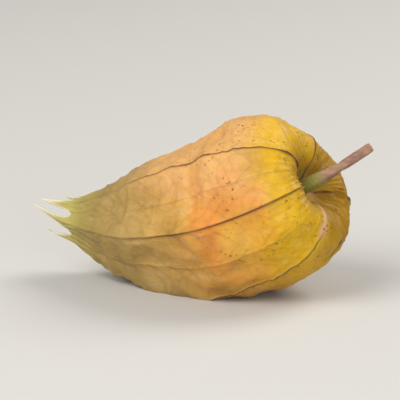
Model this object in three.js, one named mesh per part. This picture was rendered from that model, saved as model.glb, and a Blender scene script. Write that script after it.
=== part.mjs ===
// A physalis fruit as picked: an orange berry inside its dry, papery husk, on a short stem.
// It lies on its side on the surface z = 0. The husk's open tip points to -X and its stem to +X.
// Millimetres, +Z up. The origin is the middle of the small flat spot that the belly rests on.
import * as THREE from 'three';
import { mergeVertices } from 'three/addons/utils/BufferGeometryUtils.js';

// Driving dimensions
const huskLength = 42;
const bellyRadius = 13.3;
const mouthRadius = 4.7;
const dimpleDepth = 3;
const wall = 0.7;
const lobeLength = 7.6;
const berryDiameter = 16.4;
const stemDiameter = 1.5;
const stemLength = 12;
const stemSwelling = 0.35;
const receptacleLength = 2.4;
const receptacleRadius = 2.3;
const berrySag = 0.5;
const gap = 0.3;
const flatSpotDepth = 1.4;

const degrees = Math.PI / 180;

// The husk's axis runs from its base, which is raised, to its tip, and bends between them
const baseTilt = 22 * degrees;
const tipTilt = 6 * degrees;
const axisCorner = new THREE.Vector3(0.02 * huskLength, 0, -0.07 * huskLength);
const axisCurve = new THREE.QuadraticBezierCurve3(
  new THREE.Vector3(Math.cos(baseTilt), 0, Math.sin(baseTilt)).multiplyScalar(huskLength / 2),
  axisCorner,
  new THREE.Vector3(-Math.cos(tipTilt), 0, -Math.sin(tipTilt)).multiplyScalar(huskLength / 2),
);

// Outline of the husk: distance along the axis from the base's crest, and radius
const stemHoleRadius = stemDiameter / 2 + stemSwelling + gap;
const outline = new THREE.SplineCurve([
  new THREE.Vector2(dimpleDepth, stemHoleRadius),
  new THREE.Vector2(dimpleDepth * 0.75, 0.22 * bellyRadius),
  new THREE.Vector2(dimpleDepth * 0.2, 0.38 * bellyRadius),
  new THREE.Vector2(0, 0.56 * bellyRadius),
  new THREE.Vector2(0.025 * huskLength, 0.72 * bellyRadius),
  new THREE.Vector2(0.09 * huskLength, 0.86 * bellyRadius),
  new THREE.Vector2(0.19 * huskLength, 0.96 * bellyRadius),
  new THREE.Vector2(0.32 * huskLength, bellyRadius),
  new THREE.Vector2(0.48 * huskLength, 0.94 * bellyRadius),
  new THREE.Vector2(0.64 * huskLength, 0.82 * bellyRadius),
  new THREE.Vector2(0.8 * huskLength, 0.62 * bellyRadius),
  new THREE.Vector2(0.92 * huskLength, 0.44 * bellyRadius),
  new THREE.Vector2(huskLength, mouthRadius),
]);
const outlineLength = outline.getLength();

// Five main ribs run down to the lobes, with a lesser rib in the middle of each panel between
// them. The angle round the axis is 0 towards -Y and grows towards +Z.
const firstRib = -57 * degrees;
const panelWidths = [56, 46, 86, 86, 86].map((width) => width * degrees);
const mainRib = { height: 0.55, width: 0.6 };
const lesserRib = { height: 0.3, width: 0.5 };
const ribAngles = panelWidths.map(
  (_, i) => firstRib + panelWidths.slice(0, i).reduce((sum, width) => sum + width, 0),
);

// Each lobe's tip stands this far along the axis from the mouth, out from it and aside round
// it, and may hook back. The lobes follow the main ribs in turn.
const lobes = [
  { reach: 5.4, rise: -0.6, aside: 2.4, hook: 0.25 },
  { reach: 6.8, rise: 0.4, aside: 2.8, hook: 0 },
  { reach: 6.3, rise: 0, aside: 0, hook: 0 },
  { reach: 5.2, rise: -0.4, aside: 0.8, hook: 0.1 },
  { reach: 5.0, rise: -0.4, aside: -0.6, hook: 0.2 },
];
const lobeRoot = 0.8;
const lobeTaper = 2;
const lobeInwardSlope = 0.3;

// Mesh density
const columnSteps = [0, 0.055, 0.14, 0.32, 0.5, 0.68, 0.86, 0.945];
const outerRows = 32;
const innerRows = 16;
const rowCrowding = 1.3;
const lobeRows = 5;
const berrySides = 32;
const berryRings = 20;
const stemSides = 12;
const stemRings = 14;

function smoothStep(from, to, value) {
  return THREE.MathUtils.smoothstep(value, from, to);
}

// Where a column stands: its angle, its panel's share, and its lobe
function makeColumns() {
  const columns = [];
  panelWidths.forEach((width, panel) => {
    for (let half = 0; half < 2; half += 1) {
      for (const step of columnSteps) {
        const share = (half + step) / 2;
        columns.push({
          angle: ribAngles[panel] + width * share,
          share,
          width,
          lobe: half === 0 ? panel : (panel + 1) % panelWidths.length,
        });
      }
    }
  });
  return columns;
}

// How far the column reaches past the mouth: each lobe is drawn out to a slender point on its rib
function lobeHeight(column) {
  const fromRib = 2 * Math.min(column.share, 1 - column.share);
  const blunted = Math.max(0, fromRib - columnSteps[1]) / (1 - columnSteps[1]);
  return lobeRoot + (lobeLength - lobeRoot) * (1 - blunted) ** lobeTaper;
}

// Panels stand out between the ribs at the base, and the ribs stand out towards the tip
function panelShape(column, along) {
  const ridge = Math.cos(2 * Math.PI * column.share);
  const strength = -0.035 + 0.085 * smoothStep(0.15, 0.55, along / outlineLength);
  return 1 + strength * ridge;
}

// Smooth outer surface of the husk: along is the distance from the stem hole over the base's
// crest and the belly to the mouth, and past it up the lobe
function huskPoint(column, along, angle = column.angle) {
  const past = Math.max(0, along - outlineLength);
  const flat = outline.getPointAt(Math.min(1, along / outlineLength));
  const lobe = lobes[column.lobe];
  const u = past / lobeLength;
  const axial = flat.x + lobe.reach * (u - lobe.hook * u ** 3);
  const radius = flat.y * panelShape(column, Math.min(along, outlineLength))
    + lobe.rise * u ** 3 - lobeInwardSlope * past * (1 - u);
  const centre = axisCurve.getPoint(axial / huskLength);
  const forward = axisCurve.getTangent(THREE.MathUtils.clamp(axial / huskLength, 0, 1));
  const front = new THREE.Vector3(0, -1, 0);
  const up = forward.clone().cross(front).normalize();
  const lobeAngle = ribAngles[column.lobe];
  return centre
    .addScaledVector(front, radius * Math.cos(angle) - lobe.aside * u ** 2 * Math.sin(lobeAngle))
    .addScaledVector(up, radius * Math.sin(angle) + lobe.aside * u ** 2 * Math.cos(lobeAngle));
}

function huskNormal(column, along) {
  const step = 0.02;
  const ahead = huskPoint(column, along + step).sub(huskPoint(column, Math.max(0, along - step)));
  const round = huskPoint(column, along, column.angle + step)
    .sub(huskPoint(column, along, column.angle - step));
  return round.cross(ahead).normalize();
}

// Raised ribs, side veins that leave them at a slant, and soft puckers in the panels
const sideVein = { height: 0.13, spacing: 6.5, slant: 1.1 };
const pucker = { height: 0.32, turns: 3, wave: 0.55 };

function huskRelief(column, along) {
  const radius = outline.getPointAt(Math.min(1, along / outlineLength)).y;
  const panelArc = column.width * radius;
  const ridge = (rib, distance) => rib.height * Math.exp(-((distance / rib.width) ** 2));
  const fromMain = Math.min(column.share, 1 - column.share) * panelArc;
  const fromLesser = Math.abs(column.share - 0.5) * panelArc;
  const body = smoothStep(0.1, 0.3, along / outlineLength)
    * (1 - smoothStep(0.8, 0.98, along / outlineLength));
  const slanted = along + sideVein.slant * Math.min(fromMain, fromLesser);
  const crest = Math.cos((2 * Math.PI * slanted) / sideVein.spacing);
  const sideVeins = sideVein.height * body * Math.max(0, crest) ** 2;
  const puckers = pucker.height * body
    * (0.5 + 0.5 * Math.sin(pucker.wave * along + pucker.turns * column.angle))
    * Math.sin(2 * Math.PI * column.share) ** 2;
  const narrowing = smoothStep(1, 5, radius);
  return narrowing * (ridge(mainRib, fromMain) + ridge(lesserRib, fromLesser)) + sideVeins + puckers;
}

// One side of the husk as rows of points, from the stem hole to the ends of the lobes
function huskSheet(columns, bodyRows, offset) {
  const rows = [];
  for (let row = 0; row <= bodyRows + lobeRows; row += 1) {
    rows.push(columns.map((column) => {
      const along = row <= bodyRows
        ? outlineLength * (row / bodyRows) ** rowCrowding
        : outlineLength + (lobeHeight(column) * (row - bodyRows)) / lobeRows;
      return huskPoint(column, along).addScaledVector(huskNormal(column, along), offset(column, along));
    }));
  }
  return rows;
}

// Closed solid from rings of points, each ring joined to the next, and the last to the first
// or else both ends closed to their middles
function solidFromRings(rings, looped) {
  const sides = rings[0].length;
  const points = rings.flat();
  const faces = [];
  const joins = looped ? rings.length : rings.length - 1;
  for (let ring = 0; ring < joins; ring += 1) {
    const here = ring * sides;
    const next = ((ring + 1) % rings.length) * sides;
    for (let i = 0; i < sides; i += 1) {
      const j = (i + 1) % sides;
      faces.push(here + i, next + j, here + j, here + i, next + i, next + j);
    }
  }
  if (!looped) {
    const last = (rings.length - 1) * sides;
    const middle = (ring) => ring.reduce((sum, p) => sum.add(p), new THREE.Vector3())
      .divideScalar(ring.length);
    points.push(middle(rings[0]), middle(rings[rings.length - 1]));
    for (let i = 0; i < sides; i += 1) {
      const j = (i + 1) % sides;
      faces.push(points.length - 2, i, j, points.length - 1, last + j, last + i);
    }
  }
  const geometry = new THREE.BufferGeometry().setFromPoints(points);
  geometry.setIndex(faces);
  return mergeVertices(geometry);
}

function material(color, roughness) {
  return new THREE.MeshStandardMaterial({ color, roughness, metalness: 0 });
}

// The surface that the fruit lies on presses a shallow flat into the belly
const columns = makeColumns();
const outerSheet = huskSheet(columns, outerRows, huskRelief);
const innerSheet = huskSheet(columns, innerRows, () => -wall);
const lowest = outerSheet.flat().reduce((low, p) => (p.z < low.z ? p : low));
const seat = new THREE.Vector3(-lowest.x, 0, -lowest.z - flatSpotDepth);

function makeHusk() {
  const placeAbove = (rows, floor) => rows.map((row) => row.map((point) => {
    const placed = point.clone().add(seat);
    placed.z = Math.max(placed.z, floor);
    return placed;
  }));
  const rings = [...placeAbove(innerSheet, wall), ...placeAbove(outerSheet, 0).reverse()];
  const mesh = new THREE.Mesh(solidFromRings(rings, true), material(0xd2a550, 0.8));
  mesh.name = 'husk';
  return mesh;
}

// A point on the husk's axis, with the direction towards the tip there
function axisAt(axial) {
  const share = axial / huskLength;
  return {
    point: axisCurve.getPoint(share).add(seat),
    forward: axisCurve.getTangent(share),
  };
}

// A ring of points square across a path
function ringRound(path, share, radius) {
  const forward = path.getTangentAt(share);
  const side = new THREE.Vector3(0, 1, 0).cross(forward).normalize();
  const other = side.clone().cross(forward);
  return Array.from({ length: stemSides }, (_, i) => {
    const angle = (2 * Math.PI * i) / stemSides;
    return path.getPointAt(share)
      .addScaledVector(side, radius * Math.cos(angle))
      .addScaledVector(other, radius * Math.sin(angle));
  });
}

// The berry hangs from the receptacle and sags a little
function makeBerry() {
  const radius = berryDiameter / 2;
  const hole = axisAt(dimpleDepth);
  const mesh = new THREE.Mesh(
    mergeVertices(new THREE.SphereGeometry(radius, berrySides, berryRings)),
    material(0xe8821e, 0.3),
  );
  mesh.quaternion.setFromUnitVectors(new THREE.Vector3(0, 1, 0), hole.forward);
  mesh.position.copy(hole.point)
    .addScaledVector(hole.forward, wall + gap + receptacleLength + gap + radius);
  mesh.position.z -= berrySag;
  mesh.name = 'berry';
  return mesh;
}

// The stem comes in through the dimple and ends inside as the receptacle that bears the berry
function makeStem() {
  const hole = axisAt(dimpleDepth);
  const outward = hole.forward.clone().negate();
  const outside = (distance, aside, rise) => hole.point.clone()
    .addScaledVector(outward, distance)
    .add(new THREE.Vector3(0, aside, rise));
  const path = new THREE.CatmullRomCurve3([
    outside(stemLength, 2.2, 1.2),
    outside(0.55 * stemLength, 0.5, 0.3),
    outside(0.2 * stemLength, 0, 0),
    outside(-wall - gap, 0, 0),
    outside(-wall - gap - receptacleLength, 0, 0),
  ]);
  const length = path.getLength();
  const shoulder = length - receptacleLength;
  const rings = [];
  for (let i = 0; i <= stemRings; i += 1) {
    const radius = stemDiameter / 2 + stemSwelling * smoothStep(0.45, 0.75, i / stemRings);
    rings.push(ringRound(path, (shoulder * i) / stemRings / length, radius));
  }
  rings.push(
    ringRound(path, (shoulder + 0.05) / length, receptacleRadius),
    ringRound(path, (shoulder + 0.5 * receptacleLength) / length, receptacleRadius),
    ringRound(path, 1, 0.7 * receptacleRadius),
  );
  const mesh = new THREE.Mesh(solidFromRings(rings, false), material(0x8a6a52, 0.75));
  mesh.name = 'stem';
  return mesh;
}

const fruit = new THREE.Group();
fruit.add(makeHusk(), makeBerry(), makeStem());

export default fruit;
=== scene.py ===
# A physalis fruit as picked, lying on its side: a dry, papery husk round an orange berry.
import math

import bpy
import numpy as np
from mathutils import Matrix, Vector, kdtree


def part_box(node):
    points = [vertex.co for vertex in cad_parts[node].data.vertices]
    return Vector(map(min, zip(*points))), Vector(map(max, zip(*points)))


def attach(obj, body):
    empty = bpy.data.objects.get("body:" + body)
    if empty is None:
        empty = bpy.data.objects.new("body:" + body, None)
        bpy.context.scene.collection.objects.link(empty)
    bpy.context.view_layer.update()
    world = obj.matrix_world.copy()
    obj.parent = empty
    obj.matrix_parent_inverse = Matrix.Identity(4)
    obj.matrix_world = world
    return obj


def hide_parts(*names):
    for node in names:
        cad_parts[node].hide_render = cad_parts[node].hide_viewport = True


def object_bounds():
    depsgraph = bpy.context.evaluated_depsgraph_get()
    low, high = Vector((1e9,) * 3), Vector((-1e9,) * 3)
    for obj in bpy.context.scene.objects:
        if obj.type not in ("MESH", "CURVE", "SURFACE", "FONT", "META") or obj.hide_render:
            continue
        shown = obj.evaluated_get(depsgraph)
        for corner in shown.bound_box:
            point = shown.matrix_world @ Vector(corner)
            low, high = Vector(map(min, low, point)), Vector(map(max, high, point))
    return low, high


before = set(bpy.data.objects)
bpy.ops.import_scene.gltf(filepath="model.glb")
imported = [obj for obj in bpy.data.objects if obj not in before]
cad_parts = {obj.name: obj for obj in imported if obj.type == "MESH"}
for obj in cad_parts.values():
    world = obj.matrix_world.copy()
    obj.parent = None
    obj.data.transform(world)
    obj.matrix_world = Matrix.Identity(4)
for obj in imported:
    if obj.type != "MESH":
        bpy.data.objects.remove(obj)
cad_low, cad_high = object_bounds()
MM = 0.001
FULL_TURN = 2 * np.pi

# Sizes in millimetres, as in the frame
HUSK_LENGTH = 42.0
BELLY_RADIUS = 13.3
MOUTH_RADIUS = 3.8
DIMPLE_DEPTH = 3.0
LOBE_LENGTH = 7.6
LOBE_ROOT = 0.8
LOBE_TAPER = 2.4
LOBE_INWARD_SLOPE = 0.3
STEM_HOLE_RADIUS = 1.4
STEM_RADIUS = 0.75
STEM_SWELLING = 0.35
STEM_LENGTH = 12.0
RECEPTACLE_LENGTH = 2.4
RECEPTACLE_RADIUS = 2.3
BERRY_RADIUS = 8.2
BERRY_SAG = 0.5
FRAME_WALL = 0.7
GAP = 0.3
LEAF_THICKNESS = 0.22
LEAF_TRANSLUCENCY = 0.38

# The collar round the stem hole: how far inside the dimple its rows lie, and how it slopes
COLLAR_ROWS = [-0.45, -0.2]
COLLAR_SLOPE = 0.8

# Panels between the ribs stand out at the base, as a share of the radius, and the ribs at the tip
PANEL_BULGE = -0.035
RIB_BULGE_GAIN = 0.085

# Height and half width of what stands on the leaf
RIB_CREST = (0.22, 0.26)
RIB_SHOULDER = (0.25, 1.2)
LESSER_CREST = (0.08, 0.22)
LESSER_SHOULDER = (0.08, 0.9)
SIDE_VEIN = (0.07, 0.2)
NET_VEIN = (0.07, 0.15)
FINE_VEIN = (0.03, 0.1)
SIDE_VEIN_SPACING = 6.5
NET_SPACING = 3.6
FINE_NET_SPACING = 1.6

# Waves of the leaf: height, wavelength, number of waves added up, seed
PUCKERS = [(0.24, 12, 9, 41), (0.09, 4.5, 9, 42)]
CREASES = [(0.2, 8, 7, 51), (0.08, 3.2, 7, 52)]
MEAN_CREASE = 0.12

# Gathers where the husk narrows: height, and how many run round its base and its tip
GATHER_HEIGHT = 0.07
BASE_GATHERS = (37, 59)
TIP_GATHERS = 28

# How wide the main ribs are dark: half width towards the tip, and what it gains at the base.
# The lesser ribs' ink is its strength and half width
INK_WIDTH = 0.13
INK_GAIN = 0.04
LESSER_INK = (0.22, 0.1)

# The berry's painted glow on the leaf, an orange patch with a lighter yellow middle: which way they face,
# and for each its place across and up from the berry's centre, half width and half height
PAINTED_GLOW_TURN = math.radians(26)
PAINTED_GLOW_ACROSS = np.array([math.cos(PAINTED_GLOW_TURN), math.sin(PAINTED_GLOW_TURN), 0.0])
PAINTED_ORANGE_GLOW_PATCH = (-1.6, 0.8, 7.2, 9.0)
PAINTED_YELLOW_GLOW_PATCH = (0.0, -1.0, 4.4, 6.0)

# The withered spot: how far round from the first rib, and how far along from the stem hole
MARK_TURN = math.radians(-33)
MARK_ALONG = 11.0

# The husk's bent axis, its base raised
BASE_TILT = math.radians(22)
TIP_TILT = math.radians(6)
AXIS_BASE = np.array([math.cos(BASE_TILT), 0, math.sin(BASE_TILT)]) * HUSK_LENGTH / 2
AXIS_TIP = -np.array([math.cos(TIP_TILT), 0, math.sin(TIP_TILT)]) * HUSK_LENGTH / 2
AXIS_CORNER = np.array([0.02, 0, -0.07]) * HUSK_LENGTH

# Main ribs, and the lobes that they end in: reach along the axis, rise out, shift aside, hook
RIB_START = math.radians(-57)
PANEL_WIDTHS = np.radians([56, 46, 86, 86, 86])
RIB_ANGLES = RIB_START + np.concatenate([[0], np.cumsum(PANEL_WIDTHS)[:-1]])
LOBE_REACH = np.array([5.4, 6.8, 6.3, 5.2, 5.0])
LOBE_RISE = np.array([-0.9, 0.4, 0.0, -0.4, -0.4])
LOBE_ASIDE = np.array([2.4, 2.8, 0.0, 0.8, -0.6])
LOBE_HOOK = np.array([0.25, 0.0, 0.0, 0.1, 0.2])

# Outline of the husk: share of its length from the base's crest, share of the belly's radius
OUTLINE = [
    (DIMPLE_DEPTH / HUSK_LENGTH, STEM_HOLE_RADIUS / BELLY_RADIUS),
    (0.75 * DIMPLE_DEPTH / HUSK_LENGTH, 0.22),
    (0.2 * DIMPLE_DEPTH / HUSK_LENGTH, 0.38),
    (0, 0.56),
    (0.025, 0.72),
    (0.09, 0.86),
    (0.19, 0.96),
    (0.32, 1),
    (0.48, 0.94),
    (0.64, 0.82),
    (0.8, 0.61),
    (0.92, 0.41),
    (1, MOUTH_RADIUS / BELLY_RADIUS),
]

# Mesh density
PANEL_COLUMNS = 68
BODY_ROWS = 180
LINING_ROWS = 56
LOBE_ROWS = 24
ROW_CROWDING = 1.25
COLUMN_CROWDING = 0.05


def smooth_step(low, high, value):
    """0 below low, 1 above high, and a smooth rise between them."""
    t = np.clip((value - low) / (high - low), 0, 1)
    return t * t * (3 - 2 * t)


def bell(distance, width, power=2):
    """1 at no distance, falling to nothing beyond the width."""
    return np.exp(-((distance / width) ** power))


def unit(vectors):
    """The same directions with a length of one."""
    return vectors / np.maximum(np.linalg.norm(vectors, axis=-1, keepdims=True), 1e-9)


def signed_turn(angle):
    """The same angle, between minus and plus half a turn."""
    return (angle + np.pi) % FULL_TURN - np.pi


def circle(sides):
    """Evenly spaced angles all the way round."""
    return np.linspace(0, FULL_TURN, sides, endpoint=False)[None]


def smooth_curve(points, count=2400):
    """A smooth curve through the points, and the distance along it to each of its own."""
    points = np.asarray(points, float)
    padded = np.vstack([points[:1], points, points[-1:]])
    t = np.linspace(0, len(points) - 1, count)
    i = np.minimum(t.astype(int), len(points) - 2)
    w = (t - i)[:, None]
    before, here, after, beyond = (padded[i + k] for k in range(4))
    start, end = (after - before) / 2, (beyond - here) / 2
    curve = (
        (2 * here - 2 * after + start + end) * w**3
        + (3 * after - 3 * here - 2 * start - end) * w**2
        + start * w
        + here
    )
    steps = np.linalg.norm(np.diff(curve, axis=0), axis=1)
    return curve, np.concatenate([[0], np.cumsum(steps)])


OUTLINE_CURVE, OUTLINE_DISTANCE = smooth_curve(np.array(OUTLINE) * [HUSK_LENGTH, BELLY_RADIUS])
OUTLINE_LENGTH = OUTLINE_DISTANCE[-1]


def outline_radius(along):
    """How wide the outline is, at a distance along it."""
    return np.interp(along, OUTLINE_DISTANCE, OUTLINE_CURVE[:, 1])


def axis_point(share):
    """A point on the husk's bent axis, by its share of the way from base to tip."""
    share = np.asarray(share)[..., None]
    return (1 - share) ** 2 * AXIS_BASE + 2 * share * (1 - share) * AXIS_CORNER + share**2 * AXIS_TIP


def axis_forward(share):
    """Which way the axis runs there, towards the tip."""
    share = np.clip(np.asarray(share), 0, 1)[..., None]
    return unit(share * AXIS_TIP + (1 - 2 * share) * AXIS_CORNER - (1 - share) * AXIS_BASE)


# The frame's berry tells where the husk's axis lies
berry_low, berry_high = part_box("berry")
BERRY_CENTRE = np.array((berry_low + berry_high) / 2) / MM
HOLE_SHARE = DIMPLE_DEPTH / HUSK_LENGTH
INWARD = axis_forward(HOLE_SHARE)
BERRY_DEPTH = FRAME_WALL + GAP + RECEPTACLE_LENGTH + GAP + BERRY_RADIUS
SEAT = BERRY_CENTRE + [0, 0, BERRY_SAG] - axis_point(HOLE_SHARE) - BERRY_DEPTH * INWARD
HOLE = axis_point(HOLE_SHARE) + SEAT


class Columns:
    """The husk's columns, crowded towards its ribs: the angle, panel and lobe of each."""

    def __init__(self):
        index = np.arange(PANEL_COLUMNS) / PANEL_COLUMNS
        share = index - COLUMN_CROWDING * np.sin(4 * np.pi * index)
        panel = np.repeat(np.arange(len(PANEL_WIDTHS)), PANEL_COLUMNS)
        self.share = np.tile(share, len(PANEL_WIDTHS))
        self.width = PANEL_WIDTHS[panel]
        self.angle = RIB_ANGLES[panel] + self.width * self.share
        self.lobe = np.where(self.share < 0.5, panel, (panel + 1) % len(PANEL_WIDTHS))
        from_rib = 2 * np.minimum(self.share, 1 - self.share)
        self.height = LOBE_ROOT + (LOBE_LENGTH - LOBE_ROOT) * (1 - from_rib) ** LOBE_TAPER

    def rib_distances(self, along):
        """Millimetres round the husk to the nearest main rib, and to the panel's lesser rib."""
        arc = self.width * outline_radius(along)
        return np.minimum(self.share, 1 - self.share) * arc, np.abs(self.share - 0.5) * arc


def husk_point(columns, along, turn=0.0):
    """The smooth outer surface, at a distance along the outline from the stem hole."""
    body = np.clip(along, 0, OUTLINE_LENGTH)
    collar = COLLAR_SLOPE * np.clip(-along, 0, None)
    past = np.clip(along - OUTLINE_LENGTH, 0, None)
    u = past / LOBE_LENGTH
    lobe = columns.lobe
    axial = np.interp(body, OUTLINE_DISTANCE, OUTLINE_CURVE[:, 0]) + collar
    axial = axial + LOBE_REACH[lobe] * (u - LOBE_HOOK[lobe] * u**3)
    bulge = PANEL_BULGE + RIB_BULGE_GAIN * smooth_step(0.15, 0.55, body / OUTLINE_LENGTH)
    radius = (outline_radius(body) - collar) * (1 + bulge * np.cos(FULL_TURN * columns.share))
    radius = radius + LOBE_RISE[lobe] * u**3 - LOBE_INWARD_SLOPE * past * (1 - u)
    aside = LOBE_ASIDE[lobe] * u**2
    forward = axis_forward(axial / HUSK_LENGTH)
    front = np.array([0.0, -1.0, 0.0])
    up = np.cross(forward, front)
    angle = columns.angle + turn
    to_front = radius * np.cos(angle) - aside * np.sin(RIB_ANGLES[lobe])
    to_top = radius * np.sin(angle) + aside * np.cos(RIB_ANGLES[lobe])
    return axis_point(axial / HUSK_LENGTH) + to_front[..., None] * front + to_top[..., None] * up


def husk_normal(columns, along):
    """The way out of the surface, from points a small step to each side."""
    step = 0.02
    ahead = husk_point(columns, along + step) - husk_point(columns, along - step)
    sideways = husk_point(columns, along, step) - husk_point(columns, along, -step)
    return unit(np.cross(sideways, ahead))


def waves(points, wavelength, count, seed):
    """Soft noise in space: a sum of waves in seeded directions, about -1 to 1."""
    draw = np.random.default_rng(seed)
    total = np.zeros(points.shape[:-1])
    for _ in range(count):
        direction = unit(draw.normal(size=3))
        length = wavelength * draw.uniform(0.7, 1.4)
        total += np.sin(points @ direction * FULL_TURN / length + draw.uniform(0, FULL_TURN))
    return total / math.sqrt(count / 2)


def cell_edges(points, spacing, stretch, seed):
    """How far each point is from the nearest edge of a net of irregular cells."""
    draw = np.random.default_rng(seed)
    flat = points.reshape(-1, 3)
    warped = flat + 0.35 * spacing * np.stack(
        [waves(flat, 2.5 * spacing, 5, seed + k) for k in range(3)], axis=1
    )
    scaled = warped * [stretch, 1, 1]
    seeds = draw.permutation(scaled)
    _, first = np.unique(np.floor(seeds / spacing).astype(int), axis=0, return_index=True)
    tree = kdtree.KDTree(len(first))
    for i, place in enumerate(seeds[first]):
        tree.insert(place, i)
    tree.balance()
    gaps = []
    for place in scaled:
        nearest, second = tree.find_n(place, 2)
        gaps.append(second[2] - nearest[2])
    return np.array(gaps).reshape(points.shape[:-1]) / 2


def raised(form, distance):
    """A form given as height and half width, at each distance from its middle line."""
    height, width = form
    return height * bell(distance, width)


def husk_folds(columns, along, points):
    """Height of the ribs, puckers and creases over the smooth surface: the leaf's two sides share it."""
    share = along / OUTLINE_LENGTH
    from_main, from_lesser = columns.rib_distances(along)
    in_body = smooth_step(0.05, 0.25, share) * (1 - smooth_step(0.85, 1.0, share))
    main = raised(RIB_CREST, from_main) + raised(RIB_SHOULDER, from_main)
    lesser = raised(LESSER_CREST, from_lesser) + raised(LESSER_SHOULDER, from_lesser)
    ribs = smooth_step(1, 5, outline_radius(along)) * (main + lesser)
    pucker = sum(height * waves(points, *wave) for height, *wave in PUCKERS)
    crease = sum(height * (1 - np.abs(waves(points, *wave))) for height, *wave in CREASES)
    near_base = smooth_step(0.01, 0.06, share) * (1 - smooth_step(0.12, 0.34, share))
    drift = waves(points, 6, 5, 61)
    broad, fine = (count * columns.angle for count in BASE_GATHERS)
    gather = np.sin(broad + 2.6 * drift) + 0.7 * np.sin(fine - 2.2 * drift)
    gather = near_base * gather * (1 + 0.5 * drift)
    near_tip = smooth_step(0.78, 0.97, share)
    tip_gather = near_tip * np.sin(TIP_GATHERS * columns.angle + 1.6 * waves(points, 5, 5, 62))
    return ribs + (pucker + crease - MEAN_CREASE) * in_body + GATHER_HEIGHT * (gather + tip_gather)


def husk_veins(columns, along, points):
    """The raised side veins and nets between the ribs, and where ribs and veins are dark."""
    share = along / OUTLINE_LENGTH
    from_main, from_lesser = columns.rib_distances(along)
    in_body = smooth_step(0.05, 0.2, share) * (1 - smooth_step(0.85, 1.0, share))
    slanted = along + 1.1 * np.minimum(from_main, from_lesser) + 0.5 * waves(points, 9, 6, 11)
    from_side = np.abs((slanted / SIDE_VEIN_SPACING) % 1 - 0.5) * SIDE_VEIN_SPACING
    from_net = cell_edges(points, NET_SPACING, 0.7, 21)
    from_fine = cell_edges(points, FINE_NET_SPACING, 0.75, 31)
    height = 0
    ink = 0
    for form, distance, strength in (
        (SIDE_VEIN, from_side, 0.5),
        (NET_VEIN, from_net, 0.5),
        (FINE_VEIN, from_fine, 0.3),
    ):
        height = height + raised(form, distance) * in_body
        ink = ink + strength * bell(distance, form[1]) * in_body
    ink_width = INK_WIDTH + INK_GAIN * (1 - smooth_step(0.2, 0.55, share))
    rib_ink = bell(from_main, ink_width) + raised(LESSER_INK, from_lesser)
    return height, rib_ink, ink


def sheet_rows(columns, body_rows):
    """Distance along the outline of every row, for every column."""
    row = np.arange(body_rows + 1) / body_rows
    collar = np.array(COLLAR_ROWS)[:, None] + np.zeros(len(columns.share))
    body = (OUTLINE_LENGTH * row**ROW_CROWDING)[:, None] + np.zeros(len(columns.share))
    lobe = OUTLINE_LENGTH + np.outer(np.arange(1, LOBE_ROWS + 1) / LOBE_ROWS, columns.height)
    return np.vstack([collar, body, lobe])


def grid_faces(rows, sides):
    """Quads of a tube of rings, which closes on itself."""
    ring = np.arange(rows)[:, None] * sides
    following = (np.arange(rows)[:, None] + 1) % rows * sides
    here = np.arange(sides)[None]
    there = (here + 1) % sides
    return np.stack([ring + here, following + here, following + there, ring + there], -1).reshape(-1, 4)


def new_object(name, vertices, faces):
    """A smooth-shaded mesh object from vertices in millimetres."""
    mesh = bpy.data.meshes.new(name)
    mesh.from_pydata((np.asarray(vertices) * MM).tolist(), [], [list(map(int, f)) for f in faces])
    mesh.polygons.foreach_set("use_smooth", np.ones(len(mesh.polygons), bool))
    mesh.update()
    made = bpy.data.objects.new(name, mesh)
    bpy.context.scene.collection.objects.link(made)
    return made


def new_piece(name, vertices, faces, materials, values=None):
    """A piece of the fruit, with its materials and with named values on its points."""
    piece = new_object(name, vertices, faces)
    for key, numbers in (values or {}).items():
        layer = piece.data.attributes.new(key, "FLOAT", "POINT")
        layer.data.foreach_set("value", np.asarray(numbers, np.float32).ravel())
    for material in materials:
        piece.data.materials.append(material)
    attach(piece, "root")
    return piece


def painted_glow_patch(points, patch):
    """A ragged oval patch of painted glow on the leaf's front and back: 1 in its middle, 0 outside."""
    middle_across, middle_up, half_width, half_height = patch
    away = points - BERRY_CENTRE
    across = (away @ PAINTED_GLOW_ACROSS - middle_across) / half_width
    high = (away[..., 2] - middle_up) / half_height
    return 1 - smooth_step(0.15, 1.2, np.hypot(across, high) + 0.12 * waves(points, 5, 6, 71))


def painted_berry_glow(points):
    """How much of the berry's orange glow is painted on the leaf, where its light would show through."""
    near = 1 - smooth_step(2.5, 8.0, np.linalg.norm(points - BERRY_CENTRE, axis=-1) - BERRY_RADIUS)
    return np.clip(painted_glow_patch(points, PAINTED_ORANGE_GLOW_PATCH) + 0.22 * near, 0, 1)


def lobe_edge(body_rows):
    """A column of values: 0 on the collar and body, rising to 1 at the free edge."""
    lobe = np.arange(1, LOBE_ROWS + 1) / LOBE_ROWS
    below = np.zeros(len(COLLAR_ROWS) + body_rows + 1)
    return np.concatenate([below, smooth_step(0.6, 1.0, lobe)])[:, None]


def first_ribbon(columns, along):
    """The pale ribbon that the lowest rib on the front starts as."""
    share = along / OUTLINE_LENGTH
    turn = signed_turn(columns.angle - RIB_START)
    width = 0.25 + 0.5 * smooth_step(0.06, 0.18, share)
    stretch = smooth_step(0.05, 0.09, share) * (1 - smooth_step(0.16, 0.2, share))
    return bell(turn * outline_radius(along), width, 4) * stretch


def painted_shade_side(columns, along):
    """Painted shade at the base: the two panels beyond the ribbon, from the stem out, turned a darker
    gold as if in shadow.
    """
    turn = (RIB_START - columns.angle) % FULL_TURN
    panels = smooth_step(0.03, 0.25, turn) * (1 - smooth_step(2.4, 3.2, turn))
    return panels * (1 - smooth_step(0.14, 0.3, along / OUTLINE_LENGTH))


def brown_mark(columns, along, points):
    """A withered spot low on the base, beside the ribbon."""
    turn = signed_turn(columns.angle - RIB_START - MARK_TURN)
    reach = np.hypot(turn * outline_radius(along), 0.8 * (along - MARK_ALONG))
    return 1 - smooth_step(0.3, 1.5, reach + 0.5 * waves(points, 2.5, 6, 81))


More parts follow.
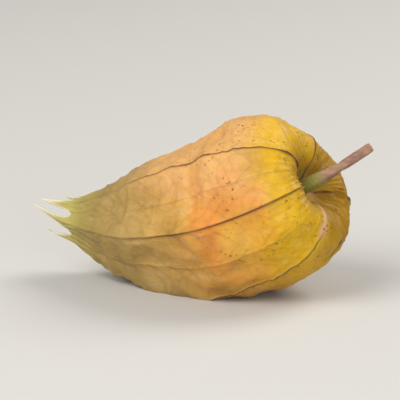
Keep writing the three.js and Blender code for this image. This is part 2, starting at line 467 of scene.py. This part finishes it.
def make_husk():
    """The husk's outer side and lining, as one closed sheet round its two edges."""
    columns = Columns()
    outer_along = sheet_rows(columns, BODY_ROWS)
    lining_along = sheet_rows(columns, LINING_ROWS)[::-1]
    outer = husk_point(columns, outer_along)
    height, rib_ink, net_ink = husk_veins(columns, outer_along, outer)
    height = height + husk_folds(columns, outer_along, outer)
    outer = outer + husk_normal(columns, outer_along) * height[..., None] + SEAT
    outer[..., 2] = np.maximum(outer[..., 2], 0)
    lining = husk_point(columns, lining_along)
    depth = husk_folds(columns, lining_along, lining) - LEAF_THICKNESS
    lining = lining + husk_normal(columns, lining_along) * depth[..., None] + SEAT
    lining[..., 2] = np.maximum(lining[..., 2], LEAF_THICKNESS)
    points = np.concatenate([outer, lining])
    edge = np.concatenate([lobe_edge(BODY_ROWS), lobe_edge(LINING_ROWS)[::-1]])
    values = {
        "along": np.concatenate([outer_along, lining_along]) / OUTLINE_LENGTH,
        # The berry's painted glow on the leaf, and its lighter painted middle
        "painted_glow": painted_berry_glow(points),
        "painted_glow_core": painted_glow_patch(points, PAINTED_YELLOW_GLOW_PATCH),
        # Painted light on the husk's upper side
        "painted_light_top": smooth_step(2, 8, points[..., 2] - BERRY_CENTRE[2]),
        "edge": edge + 0 * points[..., 0],
    }
    outside_only = {
        "ribbon": first_ribbon(columns, outer_along),
        "painted_shade": painted_shade_side(columns, outer_along),
        "mark": brown_mark(columns, outer_along, outer),
        "rib_ink": rib_ink,
        "net_ink": net_ink,
    }
    for key, numbers in outside_only.items():
        values[key] = np.concatenate([numbers, np.zeros(lining.shape[:2])])
    faces = grid_faces(*points.shape[:2])
    materials = [husk_material(), lining_material()]
    husk = new_piece("husk_leaf", points.reshape(-1, 3), faces, materials, values)
    lining_faces = np.arange(len(faces)) >= (len(outer) - 1) * len(columns.share)
    husk.data.polygons.foreach_set("material_index", lining_faces.astype(np.int32))
    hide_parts("husk")


class Nodes:
    """A short way to build a material's nodes."""

    def __init__(self, name):
        self.material = bpy.data.materials.new(name)
        self.material.use_nodes = True
        self.tree = self.material.node_tree
        self.tree.nodes.clear()

    def add(self, kind, settings=None, inputs=None):
        node = self.tree.nodes.new(kind)
        for key, value in (settings or {}).items():
            setattr(node, key, value)
        for key, value in (inputs or {}).items():
            self.put(node, key, value)
        return node

    def put(self, node, key, value):
        if isinstance(value, bpy.types.NodeSocket):
            self.tree.links.new(value, node.inputs[key])
        else:
            node.inputs[key].default_value = value

    def attribute(self, name):
        return self.add("ShaderNodeAttribute", {"attribute_name": name}).outputs["Fac"]

    def maths(self, operation, *values, clamp=False):
        node = self.add("ShaderNodeMath", {"operation": operation, "use_clamp": clamp})
        for i, value in enumerate(values):
            self.put(node, i, value)
        return node.outputs[0]

    def span(self, value, low, high, to_low=0.0, to_high=1.0):
        inputs = {0: value, 1: low, 2: high, 3: to_low, 4: to_high}
        return self.add("ShaderNodeMapRange", {"interpolation_type": "SMOOTHSTEP"}, inputs).outputs[0]

    def place(self, scale=(1, 1, 1)):
        where = self.add("ShaderNodeTexCoord").outputs["Object"]
        return self.add("ShaderNodeMapping", None, {"Vector": where, "Scale": scale}).outputs[0]

    def noise(self, scale, detail=3.0, roughness=0.55, stretch=(1, 1, 1)):
        inputs = {"Vector": self.place(stretch), "Scale": scale, "Detail": detail, "Roughness": roughness}
        return self.add("ShaderNodeTexNoise", None, inputs).outputs["Fac"]

    def specks(self, scale, small, large, strength):
        """Small ragged spots in scattered groups."""
        wobble = self.add("ShaderNodeTexNoise", None, {"Vector": self.place(), "Scale": 2.5 * scale})
        shift = self.add("ShaderNodeVectorMath", {"operation": "SCALE"}, {
            0: wobble.outputs["Color"], "Scale": 0.9 / scale})
        where = self.add("ShaderNodeVectorMath", {"operation": "ADD"}, {
            0: self.place(), 1: shift.outputs[0]}).outputs[0]
        cells = self.add("ShaderNodeTexVoronoi", None, {"Vector": where, "Scale": scale})
        spot = self.span(cells.outputs["Distance"], small, large, 1, 0)
        group = self.span(self.noise(scale / 4, 1), 0.51, 0.62)
        return self.maths("MULTIPLY", self.maths("MULTIPLY", spot, group), strength)

    def blend(self, amount, first, second, kind="MIX"):
        node = self.add("ShaderNodeMix", {"data_type": "RGBA", "blend_type": kind})
        self.put(node, 0, amount)
        self.put(node, 6, first)
        self.put(node, 7, second)
        return node.outputs[2]

    def tint(self, color, name, strength, other):
        """The colour turned towards another where the piece's named value is high."""
        amount = self.maths("MULTIPLY", self.attribute(name), strength, clamp=True)
        return self.blend(amount, color, other)

    def ramp(self, value, stops):
        node = self.add("ShaderNodeValToRGB", None, {"Fac": value})
        elements = node.color_ramp.elements
        while len(elements) < len(stops):
            elements.new(0.5)
        for element, (position, color) in zip(elements, stops):
            element.position = position
            element.color = color
        return node.outputs["Color"]

    def bump(self, height, strength, distance):
        inputs = {"Height": height, "Strength": strength, "Distance": distance * MM}
        return self.add("ShaderNodeBump", None, inputs).outputs["Normal"]

    def principled(self, inputs):
        return self.add("ShaderNodeBsdfPrincipled", None, inputs).outputs[0]

    def finish(self, shader):
        self.add("ShaderNodeOutputMaterial", None, {"Surface": shader})
        return self.material


def rgb(red, green, blue):
    """A colour from its 0 to 255 screen values, as linear light."""
    return tuple((c / 255 / 12.92) if c <= 10 else ((c / 255 + 0.055) / 1.055) ** 2.4
                 for c in (red, green, blue)) + (1.0,)


# Colours of the dry husk, from its base to its tip, with its painted light on top, painted shade at the
# base and the berry's painted glow
BASE_GREEN = rgb(118, 116, 26)
BASE_OLIVE = rgb(184, 144, 6)
BASE_PAINTED_SHADE = rgb(176, 130, 0)
BASE_YELLOW = rgb(236, 192, 34)
BELLY_YELLOW = rgb(232, 188, 84)
PAINTED_LIGHT_PEACH = rgb(240, 190, 122)
TIP_BEIGE = rgb(206, 172, 100)
TIP_KHAKI = rgb(182, 158, 90)
LOBE_GREEN = rgb(196, 188, 106)
LOBE_WHITE = rgb(234, 228, 206)
PAINTED_GLOW_ORANGE = rgb(238, 156, 72)
PAINTED_GLOW_YELLOW = rgb(255, 206, 92)
RIB_BROWN = rgb(92, 48, 30)
RIBBON_PINK = rgb(226, 184, 150)
SPECK_BROWN = rgb(104, 70, 20)
LINING_CREAM = rgb(224, 190, 120)

# Colours of the berry and the stem
BERRY_DEEP = rgb(226, 108, 12)
BERRY_ORANGE = rgb(240, 138, 24)
BERRY_LIGHT = rgb(246, 166, 48)
BERRY_STREAK = rgb(214, 92, 10)
BARK_DARK = rgb(112, 78, 66)
BARK_LIGHT = rgb(160, 126, 100)
STEM_GREEN = rgb(128, 124, 52)
PITH_LIGHT = rgb(196, 172, 128)
PITH_DARK = rgb(150, 120, 80)
FLOOR_GREY = rgb(190, 189, 186)


def leaf_shader(nodes, color, normal, roughness):
    """Dry leaf: matt paper with a little sheen, which lets some light through."""
    surface = nodes.principled({
        "Base Color": color,
        "Roughness": roughness,
        "Specular IOR Level": 0.28,
        "Sheen Weight": 0.08,
        "Sheen Roughness": 0.4,
        "Normal": normal,
    })
    back_light = nodes.add("ShaderNodeBsdfTranslucent", None, {"Color": color, "Normal": normal})
    inputs = {0: LEAF_TRANSLUCENCY, 1: surface, 2: back_light.outputs[0]}
    return nodes.add("ShaderNodeMixShader", None, inputs).outputs[0]


def husk_material():
    """The husk's outside: colour along it, then painted light on its top, painted shade on the far base
    panels, the berry's painted glow, dry patches, veins, marks and pale edge.
    """
    nodes = Nodes("husk_outside")
    blotch = nodes.noise(130, 4)
    patch = nodes.noise(55, 2)
    fibre = nodes.noise(900, 3, 0.6, (0.12, 1, 1))
    along = nodes.attribute("along")
    drift = nodes.maths("MULTIPLY_ADD", nodes.maths("SUBTRACT", patch, 0.5), 0.3, along)
    color = nodes.ramp(drift, [
        (0.0, BASE_GREEN),
        (0.05, BASE_OLIVE),
        (0.15, BASE_YELLOW),
        (0.34, BASE_YELLOW),
        (0.46, BELLY_YELLOW),
        (0.66, TIP_BEIGE),
        (0.88, TIP_KHAKI),
        (1.0, LOBE_GREEN),
    ])
    # Painted light: the upper belly turned paler and peach, as where light from above falls on it
    painted_light_above = nodes.maths("MULTIPLY", nodes.attribute("painted_light_top"), nodes.span(along, 0.18, 0.3))
    painted_light_above = nodes.maths("MULTIPLY", painted_light_above, nodes.span(along, 0.55, 0.8, 0.85, 0.0))
    color = nodes.blend(painted_light_above, color, PAINTED_LIGHT_PEACH)
    # Painted shade: the far panels of the base darker, as if in shadow
    color = nodes.tint(color, "painted_shade", 0.7, BASE_PAINTED_SHADE)
    # Painted glow: the berry's light through the leaf, painted in as an orange patch with a lighter
    # yellow middle
    painted_glow = nodes.maths("MULTIPLY", nodes.attribute("painted_glow"), nodes.span(patch, 0.25, 0.7, 0.85, 1.0))
    painted_glow_core = nodes.blend(nodes.attribute("painted_glow_core"), PAINTED_GLOW_ORANGE, PAINTED_GLOW_YELLOW)
    color = nodes.blend(nodes.maths("MULTIPLY", painted_glow, 0.95), color, painted_glow_core)
    color = nodes.blend(nodes.span(blotch, 0.45, 0.75, 0, 0.3), color, TIP_KHAKI, "MULTIPLY")
    # Pale fibre streaks, which also serve as small painted highlight streaks on the leaf
    color = nodes.blend(nodes.span(fibre, 0.5, 0.8, 0, 0.18), color, LOBE_WHITE)
    color = nodes.tint(color, "net_ink", 0.26, RIB_BROWN)
    rib = nodes.maths("MULTIPLY", nodes.attribute("rib_ink"), nodes.span(along, 0.55, 0.85, 1, 0.2))
    rib = nodes.maths("MULTIPLY", rib, nodes.span(blotch, 0.3, 0.6, 0.75, 1.0), clamp=True)
    color = nodes.blend(rib, color, RIB_BROWN)
    color = nodes.tint(color, "ribbon", 0.85, RIBBON_PINK)
    color = nodes.tint(color, "mark", 0.85, SPECK_BROWN)
    near_base = nodes.span(along, 0.3, 0.6, 0.9, 0.2)
    for scale, small, large in ((1150, 0.12, 0.3), (620, 0.05, 0.15)):
        color = nodes.blend(nodes.specks(scale, small, large, near_base), color, SPECK_BROWN)
    color = nodes.blend(nodes.span(along, 1.03, 1.15, 0, 0.7), color, LOBE_WHITE)
    color = nodes.tint(color, "edge", 1.0, LOBE_WHITE)
    height = nodes.maths("MULTIPLY_ADD", fibre, 0.5, nodes.noise(1800, 2))
    normal = nodes.bump(height, 0.5, 0.1)
    roughness = nodes.span(blotch, 0.3, 0.7, 0.48, 0.62)
    return nodes.finish(leaf_shader(nodes, color, normal, roughness))


def lining_material():
    nodes = Nodes("husk_inside")
    fibre = nodes.noise(700, 3, 0.6, (0.12, 1, 1))
    color = nodes.blend(nodes.span(fibre, 0.35, 0.7), LINING_CREAM, BELLY_YELLOW)
    # Painted glow of the berry on the lining
    color = nodes.tint(color, "painted_glow", 0.5, PAINTED_GLOW_ORANGE)
    color = nodes.blend(nodes.span(nodes.attribute("along"), 0.95, 1.1), color, LOBE_WHITE)
    return nodes.finish(leaf_shader(nodes, color, nodes.bump(fibre, 0.3, 0.06), 0.6))


def frame_across(forward):
    """Two directions that are square to the given one and to each other."""
    side = unit(np.cross([0, 1, 0], forward))
    return side, np.cross(side, forward)


def closed_tube(rings):
    """Vertices and faces of a tube whose ends are closed with a fan."""
    count, sides = rings.shape[:2]
    vertices = np.concatenate([rings.reshape(-1, 3), rings[:1].mean(1), rings[-1:].mean(1)])
    faces = grid_faces(count, sides)[: (count - 1) * sides].tolist()
    first, last = count * sides, count * sides + 1
    for i in range(sides):
        j = (i + 1) % sides
        faces.append([first, i, j])
        faces.append([last, (count - 1) * sides + j, (count - 1) * sides + i])
    return vertices, faces


def make_berry():
    sides, rings = 128, 90
    polar = np.linspace(0, np.pi, rings + 2)[1:-1][:, None]
    turn = circle(sides)
    side, other = frame_across(-INWARD)
    # A shallow dimple under the receptacle, and a small scar where the flower's style was
    radius = BERRY_RADIUS * (1 - 0.03 * bell(polar, 0.22)) - 0.12 * bell(np.pi - polar, 0.07)
    radius = radius * (1 + 0.004 * np.cos(2 * turn + 1) * np.sin(polar))
    points = BERRY_CENTRE + radius[..., None] * (
        np.cos(polar)[..., None] * -INWARD
        + (np.sin(polar) * np.cos(turn))[..., None] * side
        + (np.sin(polar) * np.sin(turn))[..., None] * other
    )
    berry = new_piece("berry_fruit", *closed_tube(points), [berry_material()])
    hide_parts("berry")


def berry_material():
    nodes = Nodes("berry_skin")
    cloud = nodes.noise(140, 3)
    streak = nodes.noise(500, 3, 0.6, (0.25, 1, 1))
    color = nodes.ramp(cloud, [(0.3, BERRY_DEEP), (0.55, BERRY_ORANGE), (0.8, BERRY_LIGHT)])
    color = nodes.blend(nodes.span(streak, 0.55, 0.8, 0, 0.25), color, BERRY_STREAK)
    return nodes.finish(nodes.principled({
        "Base Color": color,
        "Roughness": nodes.span(cloud, 0.3, 0.7, 0.2, 0.3),
        "Coat Weight": 0.3,
        "Coat Roughness": 0.15,
        "Subsurface Weight": 0.25,
        "Subsurface Radius": (0.004, 0.0018, 0.0006),
        "Subsurface Scale": 0.6,
        "Normal": nodes.bump(nodes.noise(1500, 2), 0.12, 0.03),
    }))


def stem_path():
    """The stem's route from its cut end through the dimple to the receptacle's face."""
    return smooth_curve([
        HOLE - INWARD * STEM_LENGTH + [0, 2.2, 1.2],
        HOLE - INWARD * 0.55 * STEM_LENGTH + [0, 0.5, 0.3],
        HOLE - INWARD * 0.2 * STEM_LENGTH,
        HOLE + INWARD * (FRAME_WALL + GAP),
        HOLE + INWARD * (FRAME_WALL + GAP + RECEPTACLE_LENGTH),
    ])


# The receptacle: share of its length from its shoulder, share of its radius
RECEPTACLE = np.array([
    (0.02, 0.55),
    (0.12, 0.86),
    (0.3, 0.99),
    (0.5, 1.0),
    (0.7, 0.98),
    (0.85, 0.9),
    (0.94, 0.8),
    (1.0, 0.62),
])


def make_stem():
    sides, rings = 48, 150
    path, distance = stem_path()
    shoulder = distance[-1] - RECEPTACLE_LENGTH
    stalk = np.linspace(0, shoulder, rings)
    along = np.concatenate([stalk, shoulder + RECEPTACLE_LENGTH * RECEPTACLE[:, 0]])
    centre = np.stack([np.interp(along, distance, path[:, k]) for k in range(3)], 1)
    share = along / shoulder
    # The stalk swells past a slight waist, and its cut edge is rounded
    radius = STEM_RADIUS + STEM_SWELLING * smooth_step(0.45, 0.75, share)
    radius = radius - 0.12 * bell(share - 0.42, 0.05) - 0.1 * bell(along, 0.35)
    radius[rings:] = RECEPTACLE_RADIUS * RECEPTACLE[:, 1]
    along, radius = along[:, None], radius[:, None]
    turn = circle(sides)
    furrow = 0.05 * np.cos(5 * (turn + 0.05 * along)) + 0.02 * np.cos(13 * turn + 2 * np.sin(along))
    wrinkle = 0.015 * np.sin(9 * along + 2 * np.cos(3 * turn)) * (radius < 1.2)
    spread = radius * (1 + furrow + wrinkle)
    side, other = frame_across(unit(np.gradient(centre, axis=0)))
    points = (
        centre[:, None]
        + (spread * np.cos(turn))[..., None] * side[:, None]
        + (spread * np.sin(turn))[..., None] * other[:, None]
    )
    vertices, faces = closed_tube(points)
    green = smooth_step(0.45, 0.8, share)[:, None] + 0 * turn
    end_centres = [0.0, 1.0]
    values = {"green": np.concatenate([green.ravel(), end_centres])}
    stem = new_piece("stem_stalk", vertices, faces, [stem_material(), cut_material()], values)
    cut = np.zeros(len(faces), np.int32)
    cut[(len(points) - 1) * sides :: 2] = 1
    stem.data.polygons.foreach_set("material_index", cut)
    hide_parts("stem")


def stem_material():
    nodes = Nodes("stem_bark")
    grain = nodes.noise(900, 4, 0.6, (0.2, 1, 1))
    bark = nodes.blend(nodes.span(grain, 0.3, 0.7), BARK_DARK, BARK_LIGHT)
    return nodes.finish(nodes.principled({
        "Base Color": nodes.blend(nodes.span(nodes.attribute("green"), 0.2, 0.9), bark, STEM_GREEN),
        "Roughness": nodes.span(grain, 0.3, 0.7, 0.55, 0.8),
        "Normal": nodes.bump(grain, 0.5, 0.12),
    }))


def cut_material():
    nodes = Nodes("stem_cut")
    pith = nodes.noise(2200, 3)
    return nodes.finish(nodes.principled({
        "Base Color": nodes.blend(nodes.span(pith, 0.35, 0.65), PITH_LIGHT, PITH_DARK),
        "Roughness": 0.85,
        "Normal": nodes.bump(pith, 0.5, 0.08),
    }))


def make_stage():
    """A wide pale dish: flat floor that curves up far away on every side."""
    flat, rise, sides = 900.0, 700.0, 96
    turn = circle(sides)
    bend = np.linspace(0, np.pi / 2, 24)[:, None]
    radius = np.vstack([[[1.0], [flat / 3], [flat * 2 / 3]], flat + rise * np.sin(bend)])
    height = np.vstack([np.zeros((3, 1)), rise * (1 - np.cos(bend))])
    points = np.stack([radius * np.cos(turn), radius * np.sin(turn), height + 0 * turn], -1)
    faces = grid_faces(*points.shape[:2])[: (len(points) - 1) * sides].tolist()
    faces.append(list(range(sides)))
    floor = new_object("floor", points.reshape(-1, 3), faces)
    nodes = Nodes("floor_paper")
    paper = {"Base Color": FLOOR_GREY, "Roughness": 0.8, "Specular IOR Level": 0.2}
    floor.data.materials.append(nodes.finish(nodes.principled(paper)))


# The camera stands where the photograph's did: towards the base, and a little above
VIEW_DIRECTION = (26, 12)
VIEW_DISTANCE = 0.5
VIEW_WIDTH = 62 * MM
SENSOR_WIDTH = 36
LOOK_AT = Vector(((cad_low.x + cad_high.x) / 2, (cad_low.y + cad_high.y) / 2, cad_high.z / 2))


def stand(name, data, direction, distance):
    """A lamp or camera that faces the fruit from an azimuth and elevation in degrees."""
    holder = bpy.data.objects.new(name, data)
    azimuth, elevation = (math.radians(d) for d in direction)
    away = Vector((
        math.sin(azimuth) * math.cos(elevation),
        -math.cos(azimuth) * math.cos(elevation),
        math.sin(elevation),
    ))
    holder.location = LOOK_AT + away * distance
    holder.rotation_euler = away.to_track_quat("Z", "Y").to_euler()
    bpy.context.scene.collection.objects.link(holder)
    return holder


def add_light(name, direction, distance, size, power, color):
    """A soft square lamp."""
    lamp = bpy.data.lights.new(name, "AREA")
    lamp.size = size
    lamp.energy = power
    lamp.color = color
    stand(name, lamp, direction, distance)


def make_lights():
    add_light("key", (-20, 40), 0.7, 0.5, 4.9, (1.0, 0.97, 0.93))
    add_light("fill", (42, 5), 0.8, 0.6, 4.6, (0.96, 0.98, 1.0))
    add_light("back", (150, 45), 0.7, 0.4, 3.6, (1.0, 0.96, 0.9))
    world = bpy.data.worlds.new("studio")
    world.use_nodes = True
    background = world.node_tree.nodes["Background"].inputs
    background["Color"].default_value = (1, 1, 1, 1)
    background["Strength"].default_value = 0.4
    bpy.context.scene.world = world
    bpy.context.scene.view_settings.view_transform = "Standard"


def make_camera():
    lens = bpy.data.cameras.new("camera")
    lens.sensor_width = SENSOR_WIDTH
    lens.lens = SENSOR_WIDTH * VIEW_DISTANCE / VIEW_WIDTH
    lens.clip_start = 0.01
    bpy.context.scene.camera = stand("camera", lens, VIEW_DIRECTION, VIEW_DISTANCE)


make_husk()
make_berry()
make_stem()
make_stage()
make_lights()
make_camera()
